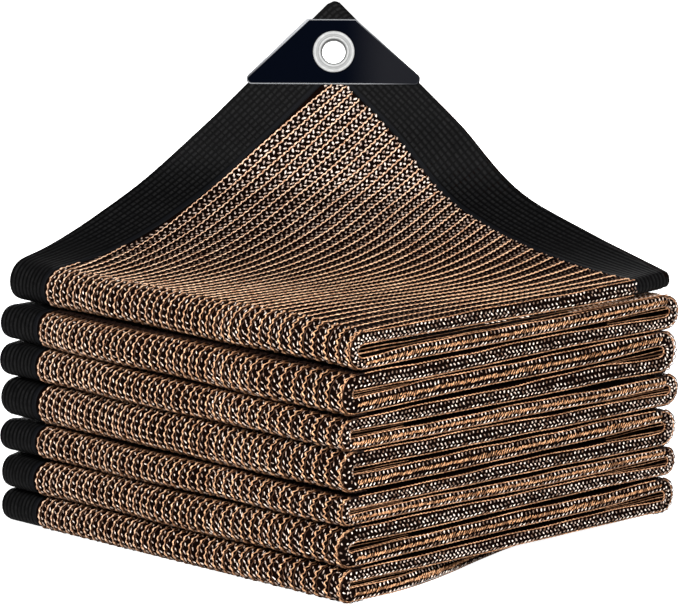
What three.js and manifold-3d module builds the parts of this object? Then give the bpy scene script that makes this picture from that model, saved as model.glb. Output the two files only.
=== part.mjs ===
// A knitted shade cloth folded back and forth into a stack.
// Its bound corner is lifted, between two plates with an eyelet.
// Millimetres, +Z up. X runs along the folds, Y across them, and the stack rests on z = 0.

import * as THREE from 'three';
import { mergeVertices } from 'three/addons/utils/BufferGeometryUtils.js';
import Module from 'manifold-3d';

const wasm = await Module();
wasm.setup();

// Main sizes
const foldLength = 257;
const stackDepth = 243;
const sailLength = 241;
const sailStart = 2;
const layerGap = 2;
const pieceGap = 0.3;
const tapeWidth = 28.5;
const tapeThickness = 0.8;
const tapeRoom = 0.46;
const hemThickness = 3.4;
const cornerRadius = 5;

// Height of each layer's top, from the top layer down: at the near end of the front folds,
// at their bound end, and along the back.
const layerTops = [
  { near: 137, bound: 137, back: 137 },
  { near: 127, bound: 126.5, back: 126 },
  { near: 117, bound: 115.5, back: 117 },
  { near: 106, bound: 105.5, back: 107.5 },
  { near: 94.5, bound: 96, back: 96 },
  { near: 86, bound: 86.5, back: 84 },
  { near: 77.5, bound: 77, back: 75 },
  { near: 66.5, bound: 66, back: 66 },
  { near: 55, bound: 55, back: 56 },
  { near: 47, bound: 46, back: 45.5 },
  { near: 39, bound: 36.5, back: 37.5 },
  { near: 28, bound: 27, back: 29.5 },
  { near: 17.5, bound: 17.5, back: 19.5 },
  { near: 9, bound: 9, back: 10 },
];

// How far each fold stands back from the stack's face, and how wide its loop gapes inside.
const frontFolds = [
  { inset: 7, slit: 6.4 },
  { inset: 0.5, slit: 3 },
  { inset: 0, slit: 2.6 },
  { inset: 0.8, slit: 3.2 },
  { inset: 0.4, slit: 2.6 },
  { inset: 0, slit: 3.2 },
  { inset: 0.6, slit: 3 },
];
const backFolds = [
  { inset: 0, slit: 4.6 },
  { inset: 1, slit: 5.2 },
  { inset: 0.4, slit: 4.4 },
  { inset: 1, slit: 5 },
  { inset: 0.4, slit: 4.2 },
  { inset: 1, slit: 4.8 },
];
const slitLength = 46;

// The lowest layer's free edge slips in under the stack, away from the near corner.
const slip = { from: 30, to: 190, inset: 33 };

// The lifted corner: a flat triangle behind the plates, which eases into a soft three-sided sag.
const tip = new THREE.Vector3(-70.5, 65.2, 263.8);
const tipTurn = THREE.MathUtils.degToRad(45.6);
const tipDip = THREE.MathUtils.degToRad(75.5);
const tipFlat = 88;
const tipEase = 86;

// Pull points of the sag, in thirds: across counts from the bound edge, along from the front fold.
const pullPoints = [
  { across: 0, along: 1, x: -117, y: -48, rise: 11 },
  { across: 0, along: 2, x: -109.5, y: 30, rise: 74 },
  { across: 0, along: 3, x: -120, y: 100, rise: 136 },
  { across: 1, along: 1, x: -17, y: -19, rise: -30 },
  { across: 1, along: 2, x: -58.5, y: 66.5, rise: 1 },
  { across: 1, along: 3, x: -45.5, y: 103, rise: 35 },
  { across: 2, along: 1, x: 74, y: -40.5, rise: 35 },
  { across: 2, along: 2, x: 5, y: 15, rise: -40.5 },
  { across: 2, along: 3, x: 52, y: 118.5, rise: 17 },
  { across: 3, along: 3, x: 128.5, y: 115.5, rise: 0 },
];
const padThickness = { front: 7.2, back: 9.6, fade: 60 };

// Corner plates and eyelet, measured down and across from the cloth's corner in the plane of the plates.
const plate = { top: 11.7, base: 45.8, overhang: 1.4, thickness: 1.3, radius: 2.4 };
const eyelet = { down: 28.2, outer: 11, hole: 6, barrel: 7, rim: 1.2, flare: 2.2 };

// Sampling of the sheets
const sailColumns = [46, 66, 90, 124, 180];
const sailRows = [41, 53, 66, 80, 95, 110, 125, 140, 155, 170, 185, 200, 213];
const layerRows = [0, 0.15, 0.85, 1];
const frontSteps = 6;
const backSteps = 4;

const halfLength = foldLength / 2;
const halfDepth = stackDepth / 2;
const stackTop = layerTops[0].near;
const layerCount = layerTops.length;

function material(color, roughness, metalness) {
  return new THREE.MeshStandardMaterial({ color, roughness, metalness });
}
const knit = material(0x9a6a44, 0.9, 0);
const tape = material(0x17181a, 0.85, 0);
const plastic = material(0x0b0d14, 0.25, 0);
const metal = material(0xd9dadc, 0.3, 1);

const mix = (a, b, t) => a + (b - a) * t;

function ease(t) {
  const s = Math.min(Math.max(t, 0), 1);
  return s * s * (3 - 2 * s);
}

// Level of the parting under a layer. Zero is the stack's top, and the last is the ground.
function level(index, x, y) {
  if (index === layerCount) return 0;
  const row = layerTops[index];
  const front = mix(row.bound, row.near, (x + halfLength) / foldLength);
  return mix(front, row.back, (y + halfDepth) / stackDepth);
}

// Height of the parting under a layer: it gapes towards the fold that joins the two layers.
function parting(index, y) {
  if (index === 0 || index === layerCount) return 0;
  const odd = index % 2 === 1;
  const fold = odd ? frontFolds[(index - 1) / 2] : backFolds[index / 2 - 1];
  const reach = odd ? y + halfDepth : halfDepth - y;
  return mix(fold.slit, layerGap, ease((reach - 12) / slitLength));
}

const layerTop = (index, x, y) => level(index - 1, x, y) - parting(index - 1, y) / 2;
const layerBottom = (index, x, y) => level(index, x, y) + parting(index, y) / 2;

// Cubic curve through four weights
function bernstein(t) {
  const s = 1 - t;
  return [s * s * s, 3 * s * s * t, 3 * s * t * t, t * t * t];
}

const sailFront = sailStart - halfDepth;

function pullPoint(across, along) {
  const row = pullPoints.find((point) => point.across === across && point.along === along);
  if (row) return new THREE.Vector3(row.x, row.y, stackTop + row.rise);
  const x = mix(-halfLength, halfLength, across / 3);
  return new THREE.Vector3(x, sailFront + sailLength * along / 3, stackTop);
}
const pullNet = [0, 1, 2, 3].map((across) => [0, 1, 2, 3].map((along) => pullPoint(across, along)));

// The plane of the plates: across runs level, down runs to the front.
const tipAcross = new THREE.Vector3(Math.cos(tipTurn), Math.sin(tipTurn), 0);
const tipDown = new THREE.Vector3(
  Math.sin(tipTurn) * Math.cos(tipDip),
  -Math.cos(tipTurn) * Math.cos(tipDip),
  -Math.sin(tipDip),
);
const tipNormal = new THREE.Vector3().crossVectors(tipDown, tipAcross).normalize();

function tipPoint(across, down, out = 0) {
  const point = tip.clone().addScaledVector(tipAcross, across);
  return point.addScaledVector(tipDown, down).addScaledVector(tipNormal, out);
}

// Upper face of the top layer: u is the distance from the bound edge, v the distance from the front.
function sailPoint(u, v) {
  const acrossWeights = bernstein(u / foldLength);
  const alongWeights = bernstein(v / sailLength);
  const soft = new THREE.Vector3();
  for (let i = 0; i < 4; i += 1) {
    for (let j = 0; j < 4; j += 1) {
      soft.addScaledVector(pullNet[i][j], acrossWeights[i] * alongWeights[j]);
    }
  }
  const left = u / Math.SQRT2;
  const right = (sailLength - v) / Math.SQRT2;
  const stiff = tipPoint(left - right, left + right);
  const reach = u + sailLength - v;
  return soft.lerp(stiff, 1 - ease((reach - tipFlat) / tipEase));
}

function sailSlope(u, v) {
  return sailPoint(u, v + 0.5).sub(sailPoint(u, v - 0.5));
}

function sailNormal(u, v) {
  const alongU = sailPoint(u + 0.5, v).sub(sailPoint(u - 0.5, v));
  return alongU.cross(sailSlope(u, v)).normalize();
}

// The top layer is as thick as the others at its front fold and free edge, and a hem thick elsewhere.
function sailThickness(u, v) {
  const pad = mix(padThickness.front, padThickness.back, v / sailLength);
  const near = Math.max(1 - ease(v / padThickness.fade), 1 - ease((foldLength - u) / padThickness.fade));
  return mix(hemThickness, pad, near);
}

// A station is one section of the folded sheet. At u it gives the middle between its two faces,
// and the half thickness towards the face that is outside at the front folds.
function faces(outer, inner) {
  const middle = outer.clone().add(inner).multiplyScalar(0.5);
  return { middle, half: outer.clone().sub(middle) };
}

function sailFaces(u, v) {
  const outer = sailPoint(u, v);
  return faces(outer, outer.clone().addScaledVector(sailNormal(u, v), -sailThickness(u, v)));
}

function layerFaces(index, u, y) {
  const x = u - halfLength;
  const top = new THREE.Vector3(x, y, layerTop(index, x, y));
  const bottom = new THREE.Vector3(x, y, layerBottom(index, x, y));
  return index % 2 === 1 ? faces(top, bottom) : faces(bottom, top);
}

// The straight part of a layer ends where its folds begin.
function frontStart(fold, u) {
  const x = u - halfLength;
  const y = -halfDepth;
  const top = fold === 1 ? stackTop : layerTop(2 * fold - 1, x, y);
  return y + frontFolds[fold - 1].inset + (top - layerBottom(2 * fold, x, y)) / 2;
}

function backStart(fold, u) {
  const x = u - halfLength;
  const y = halfDepth;
  return y - backFolds[fold - 1].inset - (layerTop(2 * fold, x, y) - layerBottom(2 * fold + 1, x, y)) / 2;
}

// A half-round turn from one point to another, leaving and arriving along the given directions.
function turnPoint(from, leave, to, arrive, t) {
  const handle = from.distanceTo(to) * 2 / 3;
  const weights = bernstein(t);
  const point = from.clone().multiplyScalar(weights[0] + weights[1]);
  point.addScaledVector(to, weights[2] + weights[3]);
  return point.addScaledVector(leave, handle * weights[1]).addScaledVector(arrive, handle * weights[2]);
}

const frontward = new THREE.Vector3(0, -1, 0);
const backward = new THREE.Vector3(0, 1, 0);

function turnFaces(from, leave, to, arrive, t) {
  const fromOuter = from.middle.clone().add(from.half);
  const fromInner = from.middle.clone().sub(from.half);
  const toOuter = to.middle.clone().add(to.half);
  const toInner = to.middle.clone().sub(to.half);
  const outer = turnPoint(fromOuter, leave, toOuter, arrive, t);
  return faces(outer, turnPoint(fromInner, leave, toInner, arrive, t));
}

function frontTurn(fold, u, t) {
  const start = frontStart(fold, u);
  const to = layerFaces(2 * fold, u, start);
  if (fold > 1) return turnFaces(layerFaces(2 * fold - 1, u, start), frontward, to, frontward, t);
  const v = start - sailFront;
  return turnFaces(sailFaces(u, v), sailSlope(u, v).normalize().negate(), to, frontward, t);
}

function backTurn(fold, u, t) {
  const start = backStart(fold, u);
  const to = layerFaces(2 * fold + 1, u, start);
  return turnFaces(layerFaces(2 * fold, u, start), backward, to, backward, t);
}

// Free edge of a layer, as a distance from the bound edge
function freeEdge(index, y) {
  if (index < layerCount) return foldLength;
  return foldLength - slip.inset * ease((y + halfDepth - slip.from) / (slip.to - slip.from));
}

// The cloth's corner is rounded where its two hems meet.
function boundEdge(v) {
  const past = v - (sailLength - cornerRadius);
  if (past <= 0) return 0;
  return cornerRadius - Math.sqrt(Math.max(cornerRadius * cornerRadius - past * past, 0));
}

// Rounded end of a section: distance from its edge and fullness there, as shares of its half thickness
const roundShares = [
  { back: 0, full: 0.35 },
  { back: 0.25, full: 0.75 },
  { back: 0.9, full: 1 },
];

function sailStation(v, thin = false) {
  return { thin, full: 1, start: boundEdge(v), end: () => foldLength, at: (u) => sailFaces(u, v) };
}

// Stations of the lifted layer along its hem. Inset shrinks them for what lies inside a binding.
function hemStations(inset, thin = false) {
  return roundShares.map(({ back, full }) => {
    const place = (u) => sailLength - inset - back * (sailThickness(u, sailLength) / 2 - inset);
    const at = (u) => sailFaces(u, place(u));
    return { thin, full, start: boundEdge(place(0)), end: () => foldLength, at };
  });
}

// Every piece of the lifted layer is cut into the same rows, so that they lie evenly on each other.
const seam = tapeWidth + pieceGap;
const cornerRows = [6.5, 12, 17.5, 23].map((back) => sailLength - back);

function sailStations() {
  const rows = [seam + pieceGap, ...sailRows].map((back) => sailStation(sailLength - back));
  const last = { thin: false, full: 1, start: 0, end: () => foldLength };
  return [...rows, { ...last, at: (u) => sailFaces(u, frontStart(1, u) - sailFront) }];
}

function layerStations(index) {
  const toFront = (u) => frontStart(Math.ceil(index / 2), u);
  const toBack = (u) => (index === layerCount ? halfDepth - 6 : backStart(Math.floor(index / 2), u));
  const rows = layerRows.map((share) => ({
    thin: false,
    full: 1,
    start: 0,
    end: () => freeEdge(index, mix(toFront(0), toBack(0), share)),
    at: (u) => layerFaces(index, u, mix(toFront(u), toBack(u), share)),
  }));
  return index % 2 === 0 ? rows : rows.reverse();
}

function turnStations(turn, fold, steps) {
  const rows = [];
  for (let step = 1; step < steps; step += 1) {
    const at = (u) => turn(fold, u, step / steps);
    rows.push({ thin: false, full: 1, start: 0, end: () => foldLength, at });
  }
  return rows;
}

function stackStations() {
  const rows = [];
  for (let fold = 1; fold <= frontFolds.length; fold += 1) {
    rows.push(...turnStations(frontTurn, fold, frontSteps), ...layerStations(2 * fold));
    if (fold > backFolds.length) return rows;
    rows.push(...turnStations(backTurn, fold, backSteps), ...layerStations(2 * fold + 1));
  }
  return rows;
}

// A point of a section: side is 1 on the outer face and -1 on the inner, inset its depth under the face.
function sectionPoint(station, u, side, inset, full = 1) {
  const { middle, half } = station.at(u);
  const depth = half.length();
  return middle.addScaledVector(half, side * full * station.full * (depth - inset) / depth);
}

// Rounded section along the bound edge, from its crown to its middle
function boundSide(station, side, inset) {
  const depth = station.at(station.start).half.length() - inset;
  const start = station.start + inset;
  const point = ({ back, full }) => sectionPoint(station, start + depth * back, side, inset, full);
  return roundShares.map(point);
}

// Half-round section along the free edge
function freeRound(station, inset, steps) {
  const end = station.end() - inset;
  const radius = station.at(station.end()).half.length() - inset;
  const points = [];
  for (let step = 0; step <= steps; step += 1) {
    const angle = Math.PI * (0.5 - step / steps);
    const reach = end - radius * (1 - Math.cos(angle));
    points.push(sectionPoint(station, reach, Math.sin(angle), inset));
  }
  return points;
}

// Skin over a run of rings, closed at both ends. Both faces of a sheet are split along the same diagonals.
function loft(rings) {
  const positions = [];
  const indices = [];
  const count = rings[0].length;
  for (const ring of rings) for (const point of ring) positions.push(point.x, point.y, point.z);
  for (let row = 0; row + 1 < rings.length; row += 1) {
    for (let k = 0; k < count; k += 1) {
      const next = (k + 1) % count;
      const a = row * count + k;
      const b = row * count + next;
      if (k < count / 2) indices.push(a, b, a + count, b, b + count, a + count);
      else indices.push(a, b, b + count, a, b + count, a + count);
    }
  }
  const last = (rings.length - 1) * count;
  for (let k = 0; k < count / 2 - 1; k += 1) {
    const mirror = count - 1 - k;
    indices.push(k, mirror, k + 1, k + 1, mirror, mirror - 1);
    indices.push(last + k, last + k + 1, last + mirror, last + k + 1, last + mirror - 1, last + mirror);
  }
  const geometry = new THREE.BufferGeometry();
  geometry.setAttribute('position', new THREE.Float32BufferAttribute(positions, 3));
  geometry.setIndex(indices);
  return outward(geometry);
}

function outward(geometry) {
  const position = geometry.getAttribute('position');
  const index = geometry.getIndex().array;
  const [a, b, c] = [new THREE.Vector3(), new THREE.Vector3(), new THREE.Vector3()];
  let volume = 0;
  for (let k = 0; k < index.length; k += 3) {
    a.fromBufferAttribute(position, index[k]);
    b.fromBufferAttribute(position, index[k + 1]);
    c.fromBufferAttribute(position, index[k + 2]);
    volume += a.dot(b.cross(c));
  }
  if (volume < 0) index.reverse();
  return geometry;
}

// Joining and cutting
function solid(geometry) {
  const plain = geometry.clone();
  plain.deleteAttribute('normal');
  plain.deleteAttribute('uv');
  const merged = mergeVertices(plain, 1e-4);
  const vertProperties = new Float32Array(merged.getAttribute('position').array);
  const triVerts = new Uint32Array(merged.getIndex().array);
  return new wasm.Manifold(new wasm.Mesh({ numProp: 3, vertProperties, triVerts }));
}

function surface(body) {
  const mesh = body.getMesh();
  const geometry = new THREE.BufferGeometry();
  geometry.setAttribute('position', new THREE.BufferAttribute(new Float32Array(mesh.vertProperties), 3));
  geometry.setIndex(new THREE.BufferAttribute(new Uint32Array(mesh.triVerts), 1));
  return geometry;
}

function named(name, geometry, finish) {
  const mesh = new THREE.Mesh(geometry, finish);
  mesh.name = name;
  return mesh;
}

// A round bar through the corner, square to the plates, that clears the eyelet's barrel
function eyeletBar() {
  const radius = eyelet.barrel + tapeRoom;
  const bar = new THREE.CylinderGeometry(radius, radius, 30, 32);
  bar.rotateX(Math.PI / 2);
  bar.applyMatrix4(tipFrame(0, eyelet.down, 0));
  return solid(bar);
}

// Placement in the plane of the plates, its Z square to them
function tipFrame(across, down, out) {
  const frame = new THREE.Matrix4().makeBasis(tipAcross, tipDown.clone().negate(), tipNormal.clone());
  return frame.setPosition(tipPoint(across, down, out));
}

// The whole folded sheet with its hems, thinner where the bindings wrap it
function buildCloth() {
  const inside = tapeThickness + tapeRoom;
  const stations = [
    ...hemStations(inside, true),
    ...[...cornerRows, sailLength - seam].map((v) => sailStation(v, true)),
    ...sailStations(),
    ...stackStations(),
  ];
  const rings = stations.map((station) => {
    const inset = station.thin ? inside : 0;
    const side = (sign) => [
      ...boundSide(station, sign, inside),
      sectionPoint(station, seam, sign, inside),
      sectionPoint(station, seam + pieceGap, sign, inset),
      ...sailColumns.map((u) => sectionPoint(station, u, sign, inset)),
    ];
    return [...side(1), ...freeRound(station, inset, 5), ...side(-1).reverse()];
  });
  return surface(solid(loft(rings)).subtract(eyeletBar()));
}

// Tape folded round the bound edge, from the lifted corner down through every layer
function buildSideBinding() {
  const wrap = (inset, columns, lastReach) => {
    const stations = [
      ...hemStations(inset),
      ...[...cornerRows, sailLength - seam].map((v) => sailStation(v)),
      ...sailStations(),
      ...stackStations(),
    ];
    const rings = stations.map((station) => {
      const side = (sign) => [
        ...boundSide(station, sign, inset),
        ...columns.map((u) => sectionPoint(station, u, sign, inset)),
      ];
      return [...side(1), ...side(-1).reverse()];
    });
    const ends = rings[rings.length - 1].map((point) => point.clone().setY(point.y + lastReach));
    return solid(loft([...rings.slice(0, -1), ends]));
  };
  const tapeBody = wrap(0, [tapeWidth], 0).subtract(wrap(tapeThickness, [seam, seam + 2], 2));
  return surface(tapeBody.subtract(eyeletBar()));
}

// Tape folded round the lifted hem, from the plates to the far corner and round its free edge
function buildEndBinding() {
  const wrap = (inset, starts, depth) => {
    const stations = [
      ...hemStations(inset),
      ...[...cornerRows, sailLength - depth].map((v) => sailStation(v)),
    ];
    const columns = [...starts, ...sailColumns];
    const rings = stations.map((station) => {
      const side = (sign) => columns.map((u) => sectionPoint(station, u, sign, inset));
      return [...side(1), ...freeRound(station, inset, 7), ...side(-1).reverse()];
    });
    return solid(loft(rings));
  };
  const pocket = wrap(tapeThickness, [seam - 2, seam + pieceGap], seam);
  return surface(wrap(0, [seam], tapeWidth).subtract(pocket));
}

// A plate with its top edge cut straight and its lower corners rounded
function buildPlate(out) {
  const half = (down) => down + plate.overhang;
  const inner = plate.radius * (1 + Math.SQRT2);
  const slope = inner / Math.SQRT2;
  const reach = half(plate.base);
  const shape = new THREE.Shape();
  shape.moveTo(-half(plate.top), -plate.top);
  shape.lineTo(slope - reach, slope - plate.base);
  shape.quadraticCurveTo(-reach, -plate.base, inner - reach, -plate.base);
  shape.lineTo(reach - inner, -plate.base);
  shape.quadraticCurveTo(reach, -plate.base, reach - slope, slope - plate.base);
  shape.lineTo(half(plate.top), -plate.top);
  shape.closePath();
  const hole = new THREE.Path();
  hole.absarc(0, -eyelet.down, eyelet.barrel + tapeRoom, 0, Math.PI * 2, true);
  shape.holes.push(hole);
  const bevel = 0.4;
  const geometry = new THREE.ExtrudeGeometry(shape, {
    depth: plate.thickness - 2 * bevel,
    bevelThickness: bevel,
    bevelSize: bevel,
    bevelOffset: -bevel,
    bevelSegments: 1,
    curveSegments: 12,
  });
  geometry.translate(0, 0, bevel);
  geometry.applyMatrix4(tipFrame(0, 0, out));
  return geometry;
}

// Rolled eyelet: a flared barrel with a rounded rim on each side
function buildEyelet() {
  const low = -hemThickness - plate.thickness - 2 * pieceGap;
  const high = plate.thickness + 2 * pieceGap;
  const middle = (low + high) / 2;
  const reach = (high - low) / 2;
  const { hole, barrel, outer, rim, flare } = eyelet;
  const half = [
    [barrel, 0],
    [barrel, reach],
    [outer - 0.5, reach],
    [outer, reach + 0.4],
    [outer - 0.5, reach + rim * 0.8],
    [outer - 1.8, reach + rim],
    [hole + flare, reach + rim],
    [hole + flare * 0.35, reach + rim - flare * 0.3],
    [hole, reach + rim - flare],
  ];
  const mirrored = half.slice(1).reverse().map(([radius, height]) => [radius, -height]);
  const outline = [...half, ...mirrored, half[0]];
  const points = outline.map(([radius, height]) => new THREE.Vector2(radius, height));
  const geometry = new THREE.LatheGeometry(points, 36);
  geometry.rotateX(Math.PI / 2);
  geometry.applyMatrix4(tipFrame(0, eyelet.down, middle));
  return geometry;
}

const shadeCloth = new THREE.Group();
shadeCloth.add(named('cloth', buildCloth(), knit));
shadeCloth.add(named('side_binding', buildSideBinding(), tape));
shadeCloth.add(named('end_binding', buildEndBinding(), tape));
shadeCloth.add(named('corner_plate_front', buildPlate(pieceGap), plastic));
shadeCloth.add(named('corner_plate_back', buildPlate(-hemThickness - pieceGap - plate.thickness), plastic));
shadeCloth.add(named('eyelet', buildEyelet(), metal));

export default shadeCloth;
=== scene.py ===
# Looks of a folded shade cloth: knitted layers, ribbed tape, corner plates and an eyelet
import math

import bmesh
import bpy
import numpy as np
from mathutils import Matrix, Vector


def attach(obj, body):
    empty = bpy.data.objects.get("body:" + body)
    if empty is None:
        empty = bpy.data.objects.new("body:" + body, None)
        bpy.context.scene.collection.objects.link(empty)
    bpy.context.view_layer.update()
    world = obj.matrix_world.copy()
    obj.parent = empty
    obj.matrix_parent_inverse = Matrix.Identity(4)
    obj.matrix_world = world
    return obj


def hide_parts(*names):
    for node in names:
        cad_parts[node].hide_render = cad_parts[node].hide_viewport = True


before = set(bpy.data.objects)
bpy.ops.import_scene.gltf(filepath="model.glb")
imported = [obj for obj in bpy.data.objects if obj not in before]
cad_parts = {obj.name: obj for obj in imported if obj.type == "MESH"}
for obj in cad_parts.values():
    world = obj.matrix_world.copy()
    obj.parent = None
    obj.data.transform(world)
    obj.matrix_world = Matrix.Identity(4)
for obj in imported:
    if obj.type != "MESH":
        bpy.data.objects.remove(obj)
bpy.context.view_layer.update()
print("frame loaded:", sorted(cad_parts))

# The folded strip in millimetres, with the sizes of the solids
stack = {
    "length": 257.0,
    "depth": 243.0,
    "top": 137.0,
    # the lifted top layer: from its start to the hem
    "sailStart": 2.0,
    "sail": 241.0,
    # parting inside the stack, and how far a wider slit runs in from its fold
    "gap": 2.0,
    "slit": 46.0,
    # upper face of each layer: bound end, near end, back
    "tops": [
        (137, 137, 137), (126.5, 127, 126), (115.5, 117, 117), (105.5, 106, 107.5), (96, 94.5, 96),
        (86.5, 86, 84), (77, 77.5, 75), (66, 66.5, 66), (55, 55, 56), (46, 47, 45.5),
        (36.5, 39, 37.5), (27, 28, 29.5), (17.5, 17.5, 19.5), (9, 9, 10),
    ],
    # inset and slit of each fold
    "fronts": [(7, 6.4), (0.5, 3), (0, 2.6), (0.8, 3.2), (0.4, 2.6), (0, 3.2), (0.6, 3)],
    "backs": [(0, 4.6), (1, 5.2), (0.4, 4.4), (1, 5), (0.4, 4.2), (1, 4.8)],
    # the lowest layer ends short of the back, and its free edge slips in: from, to, inset
    "shortfall": 6.0,
    "slip": (30, 190, 33),
    "tape": 28.5,
    "hem": 3.4,
    "corner": 5.0,
    # thickness of the lifted layer at its front and back, and its fade to the hem
    "pad": (7.2, 9.6, 60),
    "sway": 0.9,
    "fuller": 0.075,
    # fine stations: columns, step, and the lengths of a front fold, a back fold and a layer
    "columns": 66,
    "step": 0.7,
    "runs": (28, 26, 222),
}

# The lifted corner: flat at the plates, then a soft sag over a net of pull points
sag = {
    "tip": (-70.5, 65.2, 263.8),
    "turn": math.radians(45.6),
    "dip": math.radians(75.5),
    "flat": 88.0,
    "ease": 86.0,
    # (across, along): x, y, rise
    "pulls": {
        (0, 1): (-117, -48, 11), (0, 2): (-109.5, 30, 74), (0, 3): (-120, 100, 136),
        (1, 1): (-17, -19, -30), (1, 2): (-58.5, 66.5, 1), (1, 3): (-45.5, 103, 35),
        (2, 1): (74, -40.5, 35), (2, 2): (5, 15, -40.5), (2, 3): (52, 118.5, 17),
        (3, 3): (128.5, 115.5, 0),
    },
}

halfLength = stack["length"] / 2
halfDepth = stack["depth"] / 2
layerCount = len(stack["tops"])
sectionCount = 2 * layerCount - 1
sailFront = stack["sailStart"] - halfDepth
quarter = math.pi / 2
mm = 0.001


def mix(a, b, t):
    return a + (b - a) * t


def ease(t):
    t = np.clip(t, 0, 1)
    return t * t * (3 - 2 * t)


def point(x, y, z):
    return np.stack(np.broadcast_arrays(*(np.asarray(a, float) for a in (x, y, z))), axis=-1)


def size(v):
    return np.linalg.norm(v, axis=-1, keepdims=True)


def unit(v):
    return v / np.maximum(size(v), 1e-9)


def summed(steps):
    return np.concatenate([[0], np.cumsum(steps)])


def travelled(points):
    return summed(np.linalg.norm(np.diff(points, axis=0), axis=1))


def level(index, x, y):
    # height of the parting above layer index + 1, halfway between the two faces
    if index == layerCount:
        return np.zeros(np.broadcast(x, y).shape)
    bound, near, back = stack["tops"][index]
    front = mix(bound, near, (x + halfLength) / stack["length"])
    return mix(front, back, (y + halfDepth) / stack["depth"])


def parting(index, y):
    if index in (0, layerCount):
        return 0.0
    folds, reach = (stack["fronts"], y + halfDepth) if index % 2 else (stack["backs"], halfDepth - y)
    return mix(folds[(index - 1) // 2][1], stack["gap"], ease((reach - 12) / stack["slit"]))


def layerTop(index, x, y):
    return level(index - 1, x, y) - parting(index - 1, y) / 2


def layerBottom(index, x, y):
    return level(index, x, y) + parting(index, y) / 2


def bernstein(t):
    s = 1 - t
    return [s**3, 3 * s * s * t, 3 * s * t * t, t**3]


def pullPoint(across, along):
    atRest = (mix(-halfLength, halfLength, across / 3), sailFront + stack["sail"] * along / 3, 0)
    x, y, rise = sag["pulls"].get((across, along), atRest)
    return np.array([x, y, stack["top"] + rise], float)


pullNet = [[pullPoint(across, along) for along in range(4)] for across in range(4)]
tip = np.array(sag["tip"])
tipAcross = np.array([math.cos(sag["turn"]), math.sin(sag["turn"]), 0])
tipDown = np.array([
    math.sin(sag["turn"]) * math.cos(sag["dip"]),
    -math.cos(sag["turn"]) * math.cos(sag["dip"]),
    -math.sin(sag["dip"]),
])
tipNormal = np.cross(tipDown, tipAcross)


def sailPoint(u, v):
    u, v = np.broadcast_arrays(np.asarray(u, float), np.asarray(v, float))
    acrossWeights = bernstein(u / stack["length"])
    alongWeights = bernstein(v / stack["sail"])
    soft = sum(
        (acrossWeights[i] * alongWeights[j])[..., None] * pullNet[i][j]
        for i in range(4)
        for j in range(4)
    )
    left = u / math.sqrt(2)
    right = (stack["sail"] - v) / math.sqrt(2)
    stiff = tip + (left - right)[..., None] * tipAcross + (left + right)[..., None] * tipDown
    reach = u + stack["sail"] - v
    return mix(soft, stiff, 1 - ease((reach - sag["flat"]) / sag["ease"])[..., None])


def sailSlope(u, v):
    return sailPoint(u, v + 0.5) - sailPoint(u, v - 0.5)


def sailNormal(u, v):
    return unit(np.cross(sailPoint(u + 0.5, v) - sailPoint(u - 0.5, v), sailSlope(u, v)))


def sailThickness(u, v):
    front, back, fade = stack["pad"]
    pad = mix(front, back, v / stack["sail"])
    near = np.maximum(1 - ease(v / fade), 1 - ease((stack["length"] - u) / fade))
    return mix(stack["hem"], pad, near)


def sailFaces(u, v):
    outer = sailPoint(u, v)
    return outer, outer - sailNormal(u, v) * np.asarray(sailThickness(u, v))[..., None]


def layerFaces(index, u, y):
    x = u - halfLength
    top = point(x, y, layerTop(index, x, y))
    bottom = point(x, y, layerBottom(index, x, y))
    return (top, bottom) if index % 2 else (bottom, top)


def middleAndHalf(faces):
    outer, inner = faces
    return (outer + inner) / 2, (outer - inner) / 2


def foldStart(upper, u):
    # where the layer and the next one below leave the flat for their fold, odd ones in front
    folds, edge = (stack["fronts"], -halfDepth) if upper % 2 else (stack["backs"], halfDepth)
    x = u - halfLength
    height = layerTop(upper, x, edge) - layerBottom(upper + 1, x, edge)
    return edge - np.sign(edge) * (folds[(upper - 1) // 2][0] + height / 2)


def turnCurve(start, leave, end, arrive, t):
    handle = size(end - start) * 2 / 3
    a, b, c, d = bernstein(t)
    return start * (a + b) + end * (c + d) + leave * handle * b + arrive * handle * c


def foldTurn(upper, u, t):
    start = foldStart(upper, u)
    out = np.array([0, -1.0 if upper % 2 else 1.0, 0])
    leaving, leave = layerFaces(upper, u, start), out
    if upper == 1:
        leaving, leave = sailFaces(u, start - sailFront), -unit(sailSlope(u, start - sailFront))
    return [turnCurve(a, leave, b, out, t) for a, b in zip(leaving, layerFaces(upper + 1, u, start))]


def freeEdge(index, y):
    if index < layerCount:
        return np.full(np.shape(y), stack["length"])
    begin, end, inset = stack["slip"]
    return stack["length"] - inset * ease((y + halfDepth - begin) / (end - begin))


def sway(index, x, y, nose):
    # small unevenness of hand-folded layers: up and down, and in and out at a fold
    if index >= layerCount or index < 2:
        return 0.0, 0.0
    lift = 0.6 * np.sin(x / 21 + 1.9 * index) + 0.4 * np.sin(y / 27 + 2.3 * index)
    push = np.sin(x / 17 + 2.7 * index) + 0.6 * np.sin(x / 7.5 + 1.3 * index)
    return stack["sway"] * lift * 0.6, stack["sway"] * push * nose


# Fine stations along the strip. Each one holds the middle and the half thickness at every column
columns = np.linspace(0, stack["length"], stack["columns"])


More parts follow.
